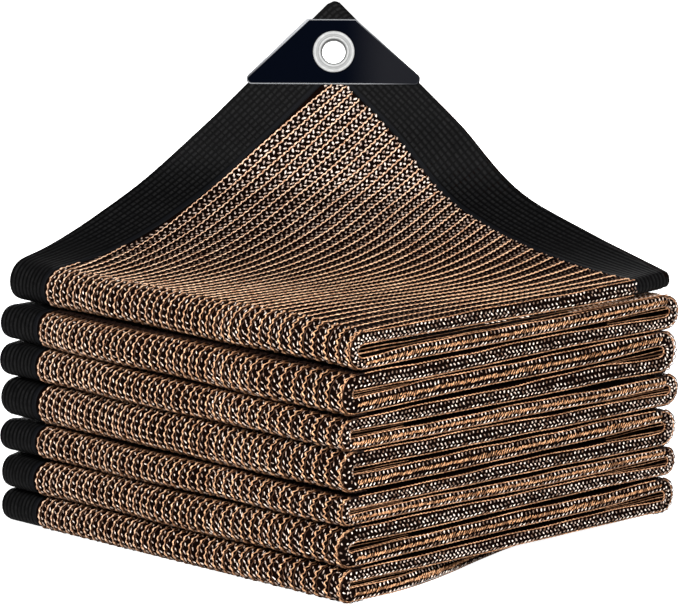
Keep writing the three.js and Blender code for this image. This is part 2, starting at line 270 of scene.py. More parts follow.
def buildStrip():
    # sections: the lifted layer is 0, then a fold and a layer by turns
    middles, halves, sections, ends, flapPlaces = [], [], [], [], []

    def add(section, index, faces, free, nose=0.0, blend=1.0):
        middle, half = middleAndHalf(faces)
        if section:
            grown = half * stack["fuller"] * blend
            half = half + grown
            if index == layerCount:
                middle[..., 2] += np.linalg.norm(grown, axis=-1)
        lift, push = sway(index, middle[..., 0], middle[..., 1], nose)
        middle[..., 2] += lift
        middle[..., 1] += push
        middles.append(middle)
        halves.append(half)
        sections.append(section)
        ends.append(float(free))

    def run(length):
        return np.linspace(0, 1, max(int(length / stack["step"]), 4), endpoint=False)

    frontRun, backRun, layerRun = stack["runs"]
    for t in run(stack["sail"] - 12):
        v = stack["sail"] + (foldStart(1, columns) - sailFront - stack["sail"]) * t
        flapPlaces.append(float(v[0]))
        add(0, 1, sailFaces(columns, v), stack["length"])
    for upper in range(1, layerCount):
        index = upper + 1
        for t in run(frontRun if upper % 2 else backRun):
            nose = math.sin(math.pi * t) * (-1 if upper % 2 else 1)
            blend = ease(t) if upper == 1 else 1
            add(2 * upper - 1, index, foldTurn(upper, columns, t), stack["length"], nose, blend)
        finish = foldStart(index, columns) if index < layerCount else halfDepth - stack["shortfall"]
        for t in run(layerRun):
            y = mix(foldStart(upper, columns), finish, t)
            add(2 * upper, index, layerFaces(index, columns, y), freeEdge(index, y).mean())
    strip = {"section": np.array(sections), "end": np.array(ends), "v": np.array(flapPlaces)}
    strip["middle"], strip["half"] = np.array(middles), np.array(halves)
    middle, half = strip["middle"][:, stack["columns"] // 2], strip["half"][:, stack["columns"] // 2]
    for name, line in (("outerRun", middle + half), ("innerRun", middle - half), ("coreRun", middle)):
        strip[name] = travelled(line)
    return strip


strip = buildStrip()
print("strip stations:", len(strip["section"]), "length in mm:", round(strip["coreRun"][-1], 1))


def sample(u, k):
    # middle and half thickness at distance u from the bound edge and station k
    u, k = np.broadcast_arrays(np.asarray(u, float), np.asarray(k, float))
    place = np.clip(u / stack["length"] * (len(columns) - 1), 0, len(columns) - 1.001)
    k = np.clip(k, 0, len(strip["section"]) - 1.001)
    column, row = place.astype(int), k.astype(int)
    across, along = (place - column)[..., None], (k - row)[..., None]

    def blend(grid):
        near, far = (mix(grid[n, column], grid[n, column + 1], across) for n in (row, row + 1))
        return mix(near, far, along)

    return blend(strip["middle"]), blend(strip["half"])


def valueAt(name, k):
    return np.interp(k, np.arange(len(strip[name])), strip[name])


def stationAt(run, distance):
    return np.interp(distance, strip[run], np.arange(len(strip[run])))


def flapStation(v):
    return np.interp(-v, -strip["v"], np.arange(len(strip["v"])))


def sectionRange(section):
    inside = np.nonzero(strip["section"] == section)[0]
    return int(inside[0]), int(inside[-1]) + 1


def skin(u, k, side, lift):
    # a point lift above the face: side is 1 outside the front folds and -1 inside
    middle, half = sample(u, k)
    normal = unit(half) * side
    return middle + normal * (size(half) + np.asarray(lift)[..., None]), normal


def rim(angle, k, lift):
    # a point on the rounded free edge: angle turns from the outer face at +90 degrees
    angle, k = np.broadcast_arrays(np.asarray(angle, float), np.asarray(k, float))
    end = valueAt("end", k)
    middle, half = sample(end, k)
    outwards = unit(middle - sample(end - 2, k)[0])
    middle, half = sample(end - size(half)[..., 0] * (1 - np.cos(angle)), k)
    normal = unit(unit(half) * np.sin(angle)[..., None] + outwards * np.cos(angle)[..., None])
    return middle + half * np.sin(angle)[..., None] + normal * np.asarray(lift)[..., None], normal


# Node trees: one class wraps a socket, so that maths reads as expressions
class Wire:
    def __init__(self, tree, socket=None):
        self.tree = tree
        self.socket = socket

    def node(self, kind, settings=None, inputs=None, output=0):
        made = self.tree.nodes.new(kind)
        for name, value in (settings or {}).items():
            if name == "stops":
                ramp = made.color_ramp
                while len(ramp.elements) < len(value):
                    ramp.elements.new(0.5)
                for element, (place, colour) in zip(ramp.elements, value):
                    element.position = place
                    element.color = (*colour, 1)
            else:
                setattr(made, name, value)
        for name, value in (inputs or {}).items():
            if isinstance(value, Wire):
                self.tree.links.new(value.socket, made.inputs[name])
            else:
                made.inputs[name].default_value = value
        return Wire(self.tree, made.outputs[output])

    def output(self, number):
        return Wire(self.tree, self.socket.node.outputs[number])

    def maths(self, operation, *values):
        return self.node("ShaderNodeMath", {"operation": operation}, dict(enumerate(values or [self])))

    def __add__(self, other):
        return self.maths("ADD", self, other)

    def __sub__(self, other):
        return self.maths("SUBTRACT", self, other)

    def __rsub__(self, other):
        return self.maths("SUBTRACT", other, self)

    def __mul__(self, other):
        return self.maths("MULTIPLY", self, other)

    __radd__, __rmul__ = __add__, __mul__


def objectPlace(wire):
    return wire.node("ShaderNodeTexCoord", output=3)


def noise(wire, scale, detail):
    inputs = {"Vector": objectPlace(wire), "Scale": scale, "Detail": detail}
    return wire.node("ShaderNodeTexNoise", inputs=inputs)


def ranged(value, low, high, kind="LINEAR"):
    # 0 at low and 1 at high
    inputs = {"Value": value, "From Min": low, "From Max": high}
    return value.node("ShaderNodeMapRange", {"interpolation_type": kind}, inputs)


def blendColours(share, first, second):
    colours = {6: first, 7: second}
    inputs = {n: (*colour, 1) if isinstance(colour, tuple) else colour for n, colour in colours.items()}
    return share.node("ShaderNodeMix", {"data_type": "RGBA"}, {0: share, **inputs}, 2)


def newMaterial(name, roughness, **sockets):
    material = bpy.data.materials.new(name)
    material.use_nodes = True
    shader = material.node_tree.nodes["Principled BSDF"]
    shader.inputs["Roughness"].default_value = roughness
    for socket, value in sockets.items():
        shader.inputs[socket.replace("_", " ")].default_value = value
    return material, shader, Wire(material.node_tree)


def feed(shader, name, wire):
    wire.tree.links.new(wire.socket, shader.inputs[name])


def addBump(shader, height, strength, distance):
    inputs = {"Height": height, "Strength": strength, "Distance": distance}
    feed(shader, "Normal", height.node("ShaderNodeBump", inputs=inputs))


def addObject(name, data):
    made = bpy.data.objects.new(name, data)
    bpy.context.scene.collection.objects.link(made)
    return made


def addPiece(name, data, *materials):
    for material in materials:
        data.materials.append(material)
    piece = addObject(name, data)
    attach(piece, "root")
    return piece


def meshData(name, mesh, smooth=True):
    data = bpy.data.meshes.new(name)
    mesh.to_mesh(data)
    mesh.free()
    if smooth:
        data.polygons.foreach_set("use_smooth", np.full(len(data.polygons), True))
    return data


# Strands: tan lines and cream dashes lie on the face as closed tubes and beads
knit = {
    "pitchAt": (20, 60, 110, 170, 220, 262),
    "pitches": (4.6, 5.1, 5.75, 6.3, 8.1, 9.2),
    "firstWale": 31.2,
    # how the wales spread over the lifted corner, by powers across and along
    "spread": ((15.25, -14.68), (-64.74, 69.29), (51.99, -57.35)),
    "stitchAt": (14, 40, 60, 85, 110, 140, 155, 170, 190, 212),
    "stitches": (3.7, 3.65, 3.75, 3.9, 4.2, 4.3, 4.2, 3.9, 3.4, 3.05),
    "stitch": 3.75,
    # half width, half height and lift of the lines and of the black cord under them
    "flapLine": (0.40, 0.34, 0.42),
    "cord": (0.46, 0.48, -0.05),
    "foldLine": (0.43, 0.38, 0.15),
    # a dark brown line beside each wale: a painted shadow of the wale
    "shadowLine": (0.34, 0.28, -0.12),
    "shadowShare": 0.22,
    "zigzag": 0.40,
    "foldZigzag": 0.46,
    # columns of grains between two wales: share of the gap, shift along, turn and least gap
    "foldGrains": ((0.45, 0.0, 0.85, 0), (0.76, 0.5, 1.05, 6.2)),
    # the same on the lifted corner, with the first place along it
    "flapGrains": ((0.34, 0.0, 0.95, 26), (0.67, 0.5, -0.95, 1)),
    # how far strands keep from the bound edge and from the free edge
    "lineEdges": (29.7, 1.2),
    "grainEdges": (30.2, 1.8),
    "lean": 4.6,
    "leanShare": 0.62,
    "mixed": 0.62,
    # length, width, height and lift of a grain
    "foldDash": (2.6, 0.68, 0.4, -0.05),
    "flapDash": (2.5, 1.16, 0.36, -0.15),
    # random spread of the grains: across and along the strip, in turn and in length
    "foldSpread": (0.16, 0.2, 0.34, 0.16),
    "flapSpread": (0.16, 0.05, 0.22, 0.12),
    "ground": -0.45,
    # painted crease shade on the folds: where its fade starts and how far it runs, for strands turned down,
    # then up
    "dark": (0.15, 0.75),
    "dim": (-0.02, 0.6),
    # grains shrink, and darken with a painted shade, where the flap lies flat to the line of sight
    "flat": (0.25, 0.65, 0.8, 0.2),
    "seenFrom": (0.7025, -0.684, 0.197),
}
foldLength = stack["length"]


def frontIndex(u):
    fine = np.linspace(10, 270, 521)
    steps = np.diff(fine) / np.interp((fine[1:] + fine[:-1]) / 2, knit["pitchAt"], knit["pitches"])
    run = summed(steps)
    return np.interp(u, fine, run) - np.interp(knit["firstWale"], fine, run)


def flapIndex(u, v):
    reach = np.clip((v - 14) / 227, 0, 1)
    across = u / foldLength
    rows = ((near + far * reach) * across**power for power, (near, far) in enumerate(knit["spread"]))
    return frontIndex(u) + reach * sum(rows)


# where each wale crosses the flap, by rows of v
flapRows = np.linspace(10, 216, 207)
flapColumns = np.linspace(14, 268, 509)
flapTable = flapIndex(flapColumns[None], flapRows[:, None])


def walePlace(index, v):
    # distance from the bound edge of a wale, at each v of the flap
    index, v = np.broadcast_arrays(np.asarray(index, float), np.asarray(v, float))
    row = np.clip(v - flapRows[0], 0, len(flapRows) - 1.001)
    low = row.astype(int)
    places = []
    for rows in (low, low + 1):
        found = np.empty(index.shape)
        for number in np.unique(rows):
            here = rows == number
            found[here] = np.interp(index[here], flapTable[number], flapColumns)
        places.append(found)
    return mix(*places, row - low)


lastWale = int(math.floor(frontIndex(foldLength - 1.2)))
wales = np.interp(np.arange(lastWale + 1), frontIndex(flapColumns), flapColumns)
stitchRun = summed(1 / np.interp(flapRows[:-1] + 0.5, knit["stitchAt"], knit["stitches"]))
print("wales:", len(wales), "last at", round(float(wales[-1]), 1))


def strandPiece(name, parts, material):
    # one mesh of many small closed shells, each part with its vertices, faces and shades
    starts = summed([len(vertices) for vertices, faces, shades in parts])
    moved = [(vertices, faces + start, shades) for start, (vertices, faces, shades) in zip(starts, parts)]
    vertices, faces, shades = (np.concatenate(group) for group in zip(*moved))
    data = bpy.data.meshes.new(name)
    data.vertices.add(len(vertices))
    data.vertices.foreach_set("co", (vertices * mm).astype(np.float32).ravel())
    data.loops.add(faces.size)
    data.loops.foreach_set("vertex_index", faces.astype(np.int32).ravel())
    data.polygons.add(len(faces))
    data.polygons.foreach_set("loop_start", np.arange(0, faces.size, faces.shape[1], dtype=np.int32))
    data.update(calc_edges=True)
    data.validate()
    data.polygons.foreach_set("use_smooth", np.full(len(faces), True))
    data.attributes.new("shade", "FLOAT", "POINT").data.foreach_set("value", shades.astype(np.float32))
    return addPiece(name, data, material)


def addStrands(name, **groups):
    made = [strandPiece(name + kind, *group) for kind, group in groups.items() if group[0]]
    print(name, "strands:", [len(piece.data.polygons) for piece in made])
    return made


def foldShade(normals, firstFold):
    # painted crease shade: strands darken where a fold turns in towards its neighbour, but not on top of
    # the first fold
    facing = np.maximum(np.abs(normals[..., 1]), np.maximum(normals[..., 0], 0))
    low, high = (ease((facing - start) / span) for start, span in (knit["dark"], knit["dim"]))
    return np.where(normals[..., 2] < 0, low, np.where(firstFold & (normals[..., 2] > 0), 1, high))


def tubes(centres, normals, width, height, shade):
    # closed four-sided tubes along rows of points: centres and normals are (strands, samples, 3)
    strands, samples = centres.shape[:2]
    along = unit(np.gradient(centres, axis=1))
    across = unit(np.cross(along, normals))
    over = np.cross(across, along)
    angles = np.arange(4)[:, None] * quarter
    offsets = (
        across[:, :, None] * (np.cos(angles) * np.asarray(width)[..., None, None])
        + over[:, :, None] * (np.sin(angles) * np.asarray(height)[..., None, None])
    )
    vertices = (centres[:, :, None] + offsets).reshape(-1, 3)
    strand, row, k = np.meshgrid(np.arange(strands), np.arange(samples - 1), np.arange(4), indexing="ij")
    base = (strand * samples + row) * 4
    following = (k + 1) % 4
    walls = np.stack([base + k, base + following, base + 4 + following, base + 4 + k], -1).reshape(-1, 4)
    first = np.arange(strands)[:, None] * samples * 4 + np.arange(4)
    last = first + (samples - 1) * 4
    shade = shade + 0 * normals[..., 0]
    return vertices, np.concatenate([walls, first[:, ::-1], last]), np.repeat(shade.ravel(), 4)


def beads(centres, normals, direction, length, width, height, shade):
    # closed plump grains: a point at each end and two rings of four
    across = unit(np.cross(direction, normals))
    ring = [across * width / 2, normals * height, -across * width / 2, -normals * height * 0.7]
    corners = [centres + direction * length / 2, centres - direction * length / 2]
    for share in (0.2, -0.2):
        corners += [centres + direction * length * share + offset for offset in ring]
    faces = []
    for k in range(4):
        m = (k + 1) % 4
        faces += [(0, 2 + k, 2 + m), (1, 6 + m, 6 + k), (2 + k, 6 + k, 6 + m), (2 + k, 6 + m, 2 + m)]
    grains = (np.arange(len(centres))[:, None, None] * 10 + np.array(faces)).reshape(-1, 3)
    return np.stack(corners, 1).reshape(-1, 3), grains, np.repeat(shade + 0 * normals[..., 0], 10)


def leaning(distance, begin, finish, firstFold):
    # the wales lean towards the free edge over the upper part of a fold
    share = knit["leanShare"]
    upper = np.clip(share - (distance - begin) / (finish - begin), 0, share) / share
    return 0 * upper if firstFold else knit["lean"] * upper**2


def faceLines(run, begin, finish, side, perStitch, firstFold, line, share=0.0):
    # one wavy line on each wale, or beside it, between two run lengths
    places = wales + share * np.diff(wales, append=2 * wales[-1] - wales[-2])
    places = places[places < foldLength - 1.0][:, None]
    stitches = round((finish - begin) / knit["stitch"])
    distance = np.linspace(begin, finish, stitches * perStitch + 1)
    phase = 2 * math.pi * distance / knit["stitch"] + places * 2.1
    pitch = np.interp(places, wales[1:], np.diff(wales))
    wave = np.sin(phase) * knit["foldZigzag"] * (pitch / 5.4) ** 1.6
    wobble = 0.22 * np.sin(distance / 13.0 + places * 1.7)
    u = np.minimum(places + wave + wobble + leaning(distance, begin, finish, firstFold), foldLength - 0.6)
    width, height, lift = line
    swell = 1 + 0.55 * np.cos(phase + 0.6)
    centres, normals = skin(u, stationAt(run, distance) + 0 * u, side, lift + 0 * u)
    shade = foldShade(normals, firstFold) * (0.91 + 0.09 * np.sin(phase + 2.2))
    return tubes(centres, normals, width * swell, height * swell, shade)


def grainRows(u, k, side, turn, lengths, look, shade):
    # grains laid on a face at an angle from the row of stitches
    width, height, lift = look
    centres, normals = skin(u, k, side, 0 * u + lift)
    ahead = skin(u, k + 1, side, 0 * u)[0] - skin(u, k - 1, side, 0 * u)[0]
    besides = skin(u + 0.5, k, side, 0 * u)[0] - skin(u - 0.5, k, side, 0 * u)[0]
    direction = unit(unit(ahead) * np.sin(turn)[..., None] + unit(besides) * np.cos(turn)[..., None])
    return beads(centres, normals, direction, lengths[:, None], width, height, shade(normals))


def faceDashes(run, begin, finish, side, rng, firstFold):
    # two columns of slanted dashes between neighbouring wales
    phase = np.arange(round((finish - begin) / knit["stitch"])) + 0.5
    dashLength, *dashLook = knit["foldDash"]
    acrossSpread, alongSpread, turnSpread, lengthSpread = knit["foldSpread"]
    parts = []
    for share, shift, slant, least in knit["foldGrains"]:
        wideGap = np.diff(wales) > least
        gapStart, gapWidth = wales[:-1][wideGap][:, None], np.diff(wales)[wideGap][:, None]
        distance = (phase + shift - 0.25 - gapStart * 0.33) * knit["stitch"]
        distance = begin + distance % (finish - begin)
        u = (gapStart + gapWidth * share + 0 * distance).ravel()
        wide = (np.clip(gapWidth / 5.8, 0.85, 1.25) + 0 * distance).ravel()
        u = u + rng.normal(0, acrossSpread, u.size)
        distance = distance.ravel() + rng.normal(0, alongSpread, u.size)
        u = np.minimum(u + leaning(distance, begin, finish, firstFold), foldLength - 1.2)
        turn = slant + rng.normal(0, turnSpread, u.size)
        lengths = dashLength * wide**0.5 * (1 + rng.normal(0, lengthSpread, u.size))
        mixed = rng.uniform(knit["mixed"], 1, u.size)
        shade = lambda normals, mixed=mixed: mixed * foldShade(normals, firstFold)
        parts.append(grainRows(u, stationAt(run, distance), side, turn, lengths, dashLook, shade))
    return parts


def flapLines(v, phase, side, top):
    # the wales spread over the lifted corner, with a black cord under each one that rises
    steep = ease((v - 16) / 60)
    width, height, lift = (mix(a, b, steep) for a, b in zip(knit["foldLine"], knit["flapLine"]))
    zigzag = mix(knit["foldZigzag"], knit["zigzag"], steep)
    # over the low part, seen along the cloth, the wales lie flatter
    flatter = ease((v - 4) / 14) * ease((120 - v) / 60)
    height, lift = height * (1 - 0.4 * flatter), lift - 0.15 * flatter
    # at the hem they dive under the tape
    lift = mix(lift, -0.8, ease((v - top + 2.2) / 1.4))
    width = width * (1 - 0.3 * ease((v - 10) / 20) * ease((150 - v) / 40))
    swell = 1.1 + 0.4 * np.cos(2 * math.pi * phase + 0.6)
    cordWidth, cordHeight, cordLift = knit["cord"]
    cordHeight = cordHeight * ease((v - 45) / 40)
    k = flapStation(v)
    lines, cords = [], []
    for index in range(-2, lastWale + 5):
        place = walePlace(index, v)
        u = place + (zigzag * np.sin(2 * math.pi * phase + index) + 0.18 * np.sin(v / 13 + index * 1.7))
        inside = np.nonzero((u > knit["lineEdges"][0]) & (u < foldLength - knit["lineEdges"][1]))[0]
        if len(inside) > 3:
            part = np.arange(inside[0], inside[-1] + 1)[None]
            centres, normals = skin(u[part], k[part], side, lift[part])
            lines.append(tubes(centres, normals, (width * swell)[part], (height * swell)[part], 1))
            part = part[:, ::2]
            if side > 0 and part.size > 2:
                centres, normals = skin(place[part], k[part], side, cordLift + 0 * place[part])
                cords.append(tubes(centres, normals, cordWidth + 0 * place[part], cordHeight[part], 1))
    return lines, cords


def flapDashes(low, top, firstPhase, lastPhase, side, rng):
    stitches = np.arange(math.ceil(firstPhase), math.floor(lastPhase) + 1)
    dashLength, dashWidth, *dashLook = knit["flapDash"]
    acrossSpread, alongSpread, turnSpread, lengthSpread = knit["flapSpread"]
    least, span, small, dim = knit["flat"]
    parts = []
    for share, shift, slant, begin in knit["flapGrains"]:
        index, place = np.meshgrid(np.arange(-3, lastWale + 4), stitches + shift, indexing="ij")
        index, place = index.ravel(), place.ravel() + rng.normal(0, alongSpread, index.size)
        v = np.interp(place, stitchRun, flapRows)
        u = walePlace(index + share, v) + rng.normal(0, acrossSpread, index.size)
        kept = (u > knit["grainEdges"][0]) & (u < foldLength - knit["grainEdges"][1])
        kept &= (v > low + begin) & (v < top - 0.7)
        u, v = u[kept], v[kept]
        turn = slant + rng.normal(0, turnSpread, u.size)
        grow = (np.interp(v, knit["stitchAt"], knit["stitches"]) / 3.3) ** 0.7
        facing = ease((sailNormal(u, v) @ np.array(knit["seenFrom"]) - least) / span)
        lengths = dashLength * grow * (1 + rng.normal(0, lengthSpread, u.size)) * mix(small, 1, facing)
        look = (dashWidth * mix(small, 1, facing)[:, None], *dashLook)
        # painted shade on the upper face: grains dim where the flap lies flat to the line of sight
        shade = lambda normals, facing=facing: mix(dim, 1, facing) if side > 0 else 1
        parts.append(grainRows(u, flapStation(v), side, turn, lengths, look, shade))
    return parts


def knitFlap(name, side, perStitch, seed, lineMaterial):
    top = stack["sail"] - stack["tape"] + 0.8
    low = float(strip["v"][-1]) - 0.3
    firstPhase, lastPhase = np.interp([low, top], flapRows, stitchRun)
    phase = np.linspace(firstPhase, lastPhase, round((lastPhase - firstPhase) * perStitch) + 1)
    lines, cords = flapLines(np.interp(phase, stitchRun, flapRows), phase, side, top)
    dashes = flapDashes(low, top, firstPhase, lastPhase, side, np.random.default_rng(seed))
    groups = {"Lines": (lines, lineMaterial), "Dashes": (dashes, yarns["cream"])}
    return addStrands(name, **groups, Cords=(cords, blackGround))


def knitFace(name, run, sections, before, after, side, perStitch, material, seed):
    # strands over each section, with a little more of its run on either side
    rng = np.random.default_rng(seed)
    lines, shadowLines, dashes = [], [], []
    for number, section in enumerate(sections):
        first, last = sectionRange(section)
        begin = strip[run][first] - (0 if section == 1 else before)
        finish = strip[run][min(last, len(strip[run]) - 1)] + after
        # the first fold, and the layer that the lifted corner bares, keep their light on top
        span = (run, begin, finish, side)
        lines.append(faceLines(*span, perStitch, number == 0, knit["foldLine"]))
        shadowLines.append(faceLines(*span, 2, number == 0, knit["shadowLine"], knit["shadowShare"]))
        dashes += faceDashes(*span, rng, number == 0)
    groups = {"Lines": (lines, material), "Browns": (shadowLines, yarns["brown"])}
    return addStrands(name, **groups, Dashes=(dashes, yarns["cream"]))


yarn = {
    # dark and light tone, and the light one under a painted warm light on the stack's front corner
    "tones": {
        "tan": ((0.22, 0.090, 0.040), (0.92, 0.57, 0.36), (0.86, 0.48, 0.27)),
        "pale": ((0.42, 0.205, 0.11), (1.0, 0.70, 0.49), (0.92, 0.58, 0.36)),
        "rope": ((0.24, 0.11, 0.055), (0.88, 0.60, 0.42), (0.82, 0.47, 0.26)),
        "cream": ((0.26, 0.16, 0.115), (1.0, 0.87, 0.77)),
        # painted shadow beside the wales
        "brown": ((0.007, 0.0022, 0.0007), (0.036, 0.012, 0.004)),
        "orange": ((0.30, 0.12, 0.045), (0.70, 0.40, 0.22)),
    },
    # colours of the painted shade: warm brown where it is half, near black where it is full
    "halfShadeTone": (0.26, 0.105, 0.04),
    "fullShadeTone": (0.007, 0.0018, 0.0006),
    "roughness": 0.62,
    "shine": 0.15,
}


def yarnMaterial(name, dark, light, warmLightTone=None):
    material, shader, wire = newMaterial(name, yarn["roughness"], Specular_IOR_Level=yarn["shine"])
    tone = ranged(noise(wire, 900.0, 2.0), 0.38, 0.62)
    shade = wire.node("ShaderNodeAttribute", {"attribute_name": "shade"}, output=2)
    if warmLightTone:
        # painted light: the light tone turns warmer towards the stack's front corner, where the light falls
        # warmer
        right = wire.node("ShaderNodeSeparateXYZ", inputs={0: objectPlace(wire)})
        near = ranged(right, -0.10, 0.06) * ranged(right.output(2), 0.20, 0.135)
        light = blendColours(near, light, warmLightTone)
    # the shade attribute paints shade on the strands, with some random tone: warm brown at half, near black
    # at none
    colour = blendColours(shade, yarn["halfShadeTone"], blendColours(tone, dark, light))
    feed(shader, "Base Color", blendColours(shade, yarn["fullShadeTone"], colour))
    addBump(shader, noise(wire, 4200.0, 2.0), 0.35, 0.0002)
    return material


yarns = {name: yarnMaterial(name + "Yarn", *tones) for name, tones in yarn["tones"].items()}

# Ground of the knit: black yarn under the strands
ground = {
    "black": (0.0006, 0.0002, 0.0001),
    "thread": (0.0045, 0.0012, 0.0005),
    # steps along the lifted layer, a fold and a layer, and where a layer has more rows near its folds
    "steps": (2.8, 1.9, 24.0),
    "nearFold": (6.0, 16.0),
    # places and depth under the tape, then the face up to the rounded free edge
    "underTape": (4.0, 12.0, 20.0, 27.9),
    "inset": -1.25,
    "face": (29.2, 8, 36),
    "rimAngles": (72, 9),
    "rimLift": -0.35,
}


def groundMaterial(name):
    material, shader, wire = newMaterial(name, 0.9, Specular_IOR_Level=0.03)
    fuzz = noise(wire, 1500.0, 3.0)
    feed(shader, "Base Color", blendColours(fuzz, ground["black"], ground["thread"]))
    addBump(shader, fuzz, 0.5, 0.0004)
    return material


blackGround = groundMaterial("blackGround")


def coarseRows(sailStep, turnStep, layerStep):
    # fewer stations for whole surfaces, denser where the strip turns
    rows = []
    for section in range(sectionCount):
        first, last = sectionRange(section)
        step = sailStep if section == 0 else (turnStep if section % 2 else layerStep)
        count = max(round((last - first) * stack["step"] / step), 2)
        rows.extend(np.linspace(first, last, count, endpoint=False))
        if section and section % 2 == 0:
            rows.extend(place for near in ground["nearFold"] for place in (first + near, last - near))
    rows.append(len(strip["section"]) - 1.0)
    return np.unique(np.round(rows, 2))


def gridData(name, rows, merge, chart=None):
    # a bmesh grid bent onto rows of points: closed and capped, or charted for a pattern
    count, width = rows.shape[:2]
    mesh = bmesh.new()
    bmesh.ops.create_grid(mesh, x_segments=width - 1, y_segments=count - 1, size=1)
    places = (np.array([vertex.co[:2] for vertex in mesh.verts]) + 1) / 2 * (width - 1, count - 1)
    across, along = np.rint(places).astype(int).T
    if chart is not None:
        layer = mesh.loops.layers.uv.new("knit")
        mesh.verts.index_update()
        for face in mesh.faces:
            for loop in face.loops:
                loop[layer].uv = chart[along[loop.vert.index], across[loop.vert.index]]
    for vertex, i, j in zip(mesh.verts, along, across):
        vertex.co = rows[i, j] * mm
    bmesh.ops.remove_doubles(mesh, verts=mesh.verts, dist=merge)
    if chart is None:
        bmesh.ops.holes_fill(mesh, edges=[edge for edge in mesh.edges if edge.is_boundary], sides=0)
    bmesh.ops.recalc_face_normals(mesh, faces=mesh.faces)
    return meshData(name, mesh)


def buildGround():
    rows = coarseRows(*ground["steps"])
    k = rows[:, None]
    begin, short, count = ground["face"]
    face = np.linspace(begin, foldLength - short, count)
    places = np.concatenate([ground["underTape"], face])
    lifts = np.where(places < begin, ground["inset"], knit["ground"])
    u = np.minimum(places, valueAt("end", k) - short)
    widest, turns = ground["rimAngles"]
    angles = np.radians(np.linspace(widest, -widest, turns)) + 0 * k
    outer, inner = (skin(u, k + 0 * u, side, lifts + 0 * u)[0] for side in (1, -1))
    edge = rim(angles, k, ground["rimLift"] + 0 * angles)[0]
    ring = np.concatenate([outer, edge, inner[:, ::-1], outer[:, :1]], axis=1)
    return addPiece("knitGround", gridData("knitGround", ring, 1e-6), blackGround)


knitGround = buildGround()
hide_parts("cloth")
print("ground faces:", len(knitGround.data.polygons))

fronts, backs = range(1, sectionCount, 4), range(3, sectionCount, 4)
rope, tan = yarns["rope"], yarns["tan"]
strandPieces = knitFlap("flapTop", 1, 3, 3, yarns["pale"])
strandPieces += knitFace("frontFolds", "outerRun", fronts, 5, 7, 1, 4, rope, 5)
strandPieces += knitFace("backFolds", "innerRun", backs, 5, 5, -1, 3, rope, 7)
strandPieces += knitFlap("flapUnder", -1, 2, 9, tan)
# the lifted corner bares only the far part of the second layer
strandPieces += knitFace("underLayer", "innerRun", [2], -150, -4, -1, 2, tan, 13)

# Free edges on the right: lines and dashes run along every layer
edgeLook = {
    "stitch": 2.8,
    "line": (0.31, 0.32),
    "rope": (2.3, 0.66, 0.5),
    # share of dull strokes, and their tone
    "mixed": (0.36, 0.42),
    # random spread of the dashes: along the edge, round it, in turn and in length
    "spread": (0.12, 0.045, 0.14, 0.12),
    # the angle round the edge of each line, and of each row of dashes with its slant and shift
    "upper": {
        "lines": (60, -56),
        "dash": (1.9, 0.9, 0.38),
        "rows": ((34, 0.8, 0), (4, -0.8, 0.5), (-26, 0.8, 0)),
    },
    "lower": {
        "lines": (60, -60),
        "dash": (2.3, 0.9, 0.38),
        "rows": ((30, 1.35, 0), (-38, 1.2, 0.4)),
    },
    # a lumpy rope of two rows: angle, slant and shift, then its lift and spacing
    "ropeRows": ((-4.5, 0.95, 0.25), (-7.5, 0.75, -0.25)),
    "ropeLay": (0.2, 0.62),
    # threads run in a slit where it is wider than the first number; place and thickness as shares of it
    "threads": [2.1, (-0.24, 0.05), (0.2, 0.038)],
    # the first layer lifts off, so its slit is wider than its parting
    "lifted": 1.2,
}


# painted shade: strands on the rounded free edge darken as they turn in towards the slits
def edgeShade(normals):
    return ease((normals[..., 0] + 0.05) / 0.35)


def edgeTube(first, last, angle, seed, perStitch=3):
    begin, finish = strip["coreRun"][[first, last]]
    stitches = max(round((finish - begin) / edgeLook["stitch"]), 2)
    distance = np.linspace(begin, finish, stitches * perStitch + 1)[None]
    phase = 2 * math.pi * distance / edgeLook["stitch"]
    slow = 0.10 * np.sin(distance / 17 + seed * 1.3) + 0.05 * np.sin(distance / 7 + seed)
    swing = math.radians(angle) + 0.05 * np.sin(phase) + slow
    centres, normals = rim(swing, stationAt("coreRun", distance), 0 * phase)
    swell = 1 + 0.28 * np.cos(phase)
    width, height = edgeLook["line"]
    mixed = 0.84 + 0.16 * np.sin(distance / 9 + seed * 2.0)
    return tubes(centres, normals, width * swell, height * swell, edgeShade(normals) * mixed)


def edgeDashes(first, last, angle, slant, shift, look, rng, lift=0.0, step=1.0):
    begin, finish = strip["coreRun"][[first, last]]
    alongSpread, roundSpread, turnSpread, lengthSpread = edgeLook["spread"]
    spacing = edgeLook["stitch"] * step
    distance = np.arange(begin + 1, finish - 1, spacing)
    distance = distance + shift * spacing + rng.normal(0, alongSpread, distance.shape)
    k = stationAt("coreRun", distance)
    swing = math.radians(angle) + rng.normal(0, roundSpread, distance.shape)
    swing = swing + 0.08 * np.sin(distance / 15 + angle)
    centres, normals = rim(swing, k, 0 * k + lift)
    ahead = unit(rim(swing, k + 1, 0 * k)[0] - rim(swing, k - 1, 0 * k)[0])
    turn = (slant + rng.normal(0, turnSpread, distance.shape))[:, None]
    direction = unit(ahead * np.cos(turn) + np.cross(normals, ahead) * np.sin(turn))
    dashLength, width, height = look
    lengths = (dashLength * (1 + rng.normal(0, lengthSpread, distance.shape)))[:, None]
    share, dull = edgeLook["mixed"]
    shade = edgeShade(normals) * np.where(rng.random(distance.shape) < share, dull, 1)
    return beads(centres, normals, direction, lengths, width, height, shade)


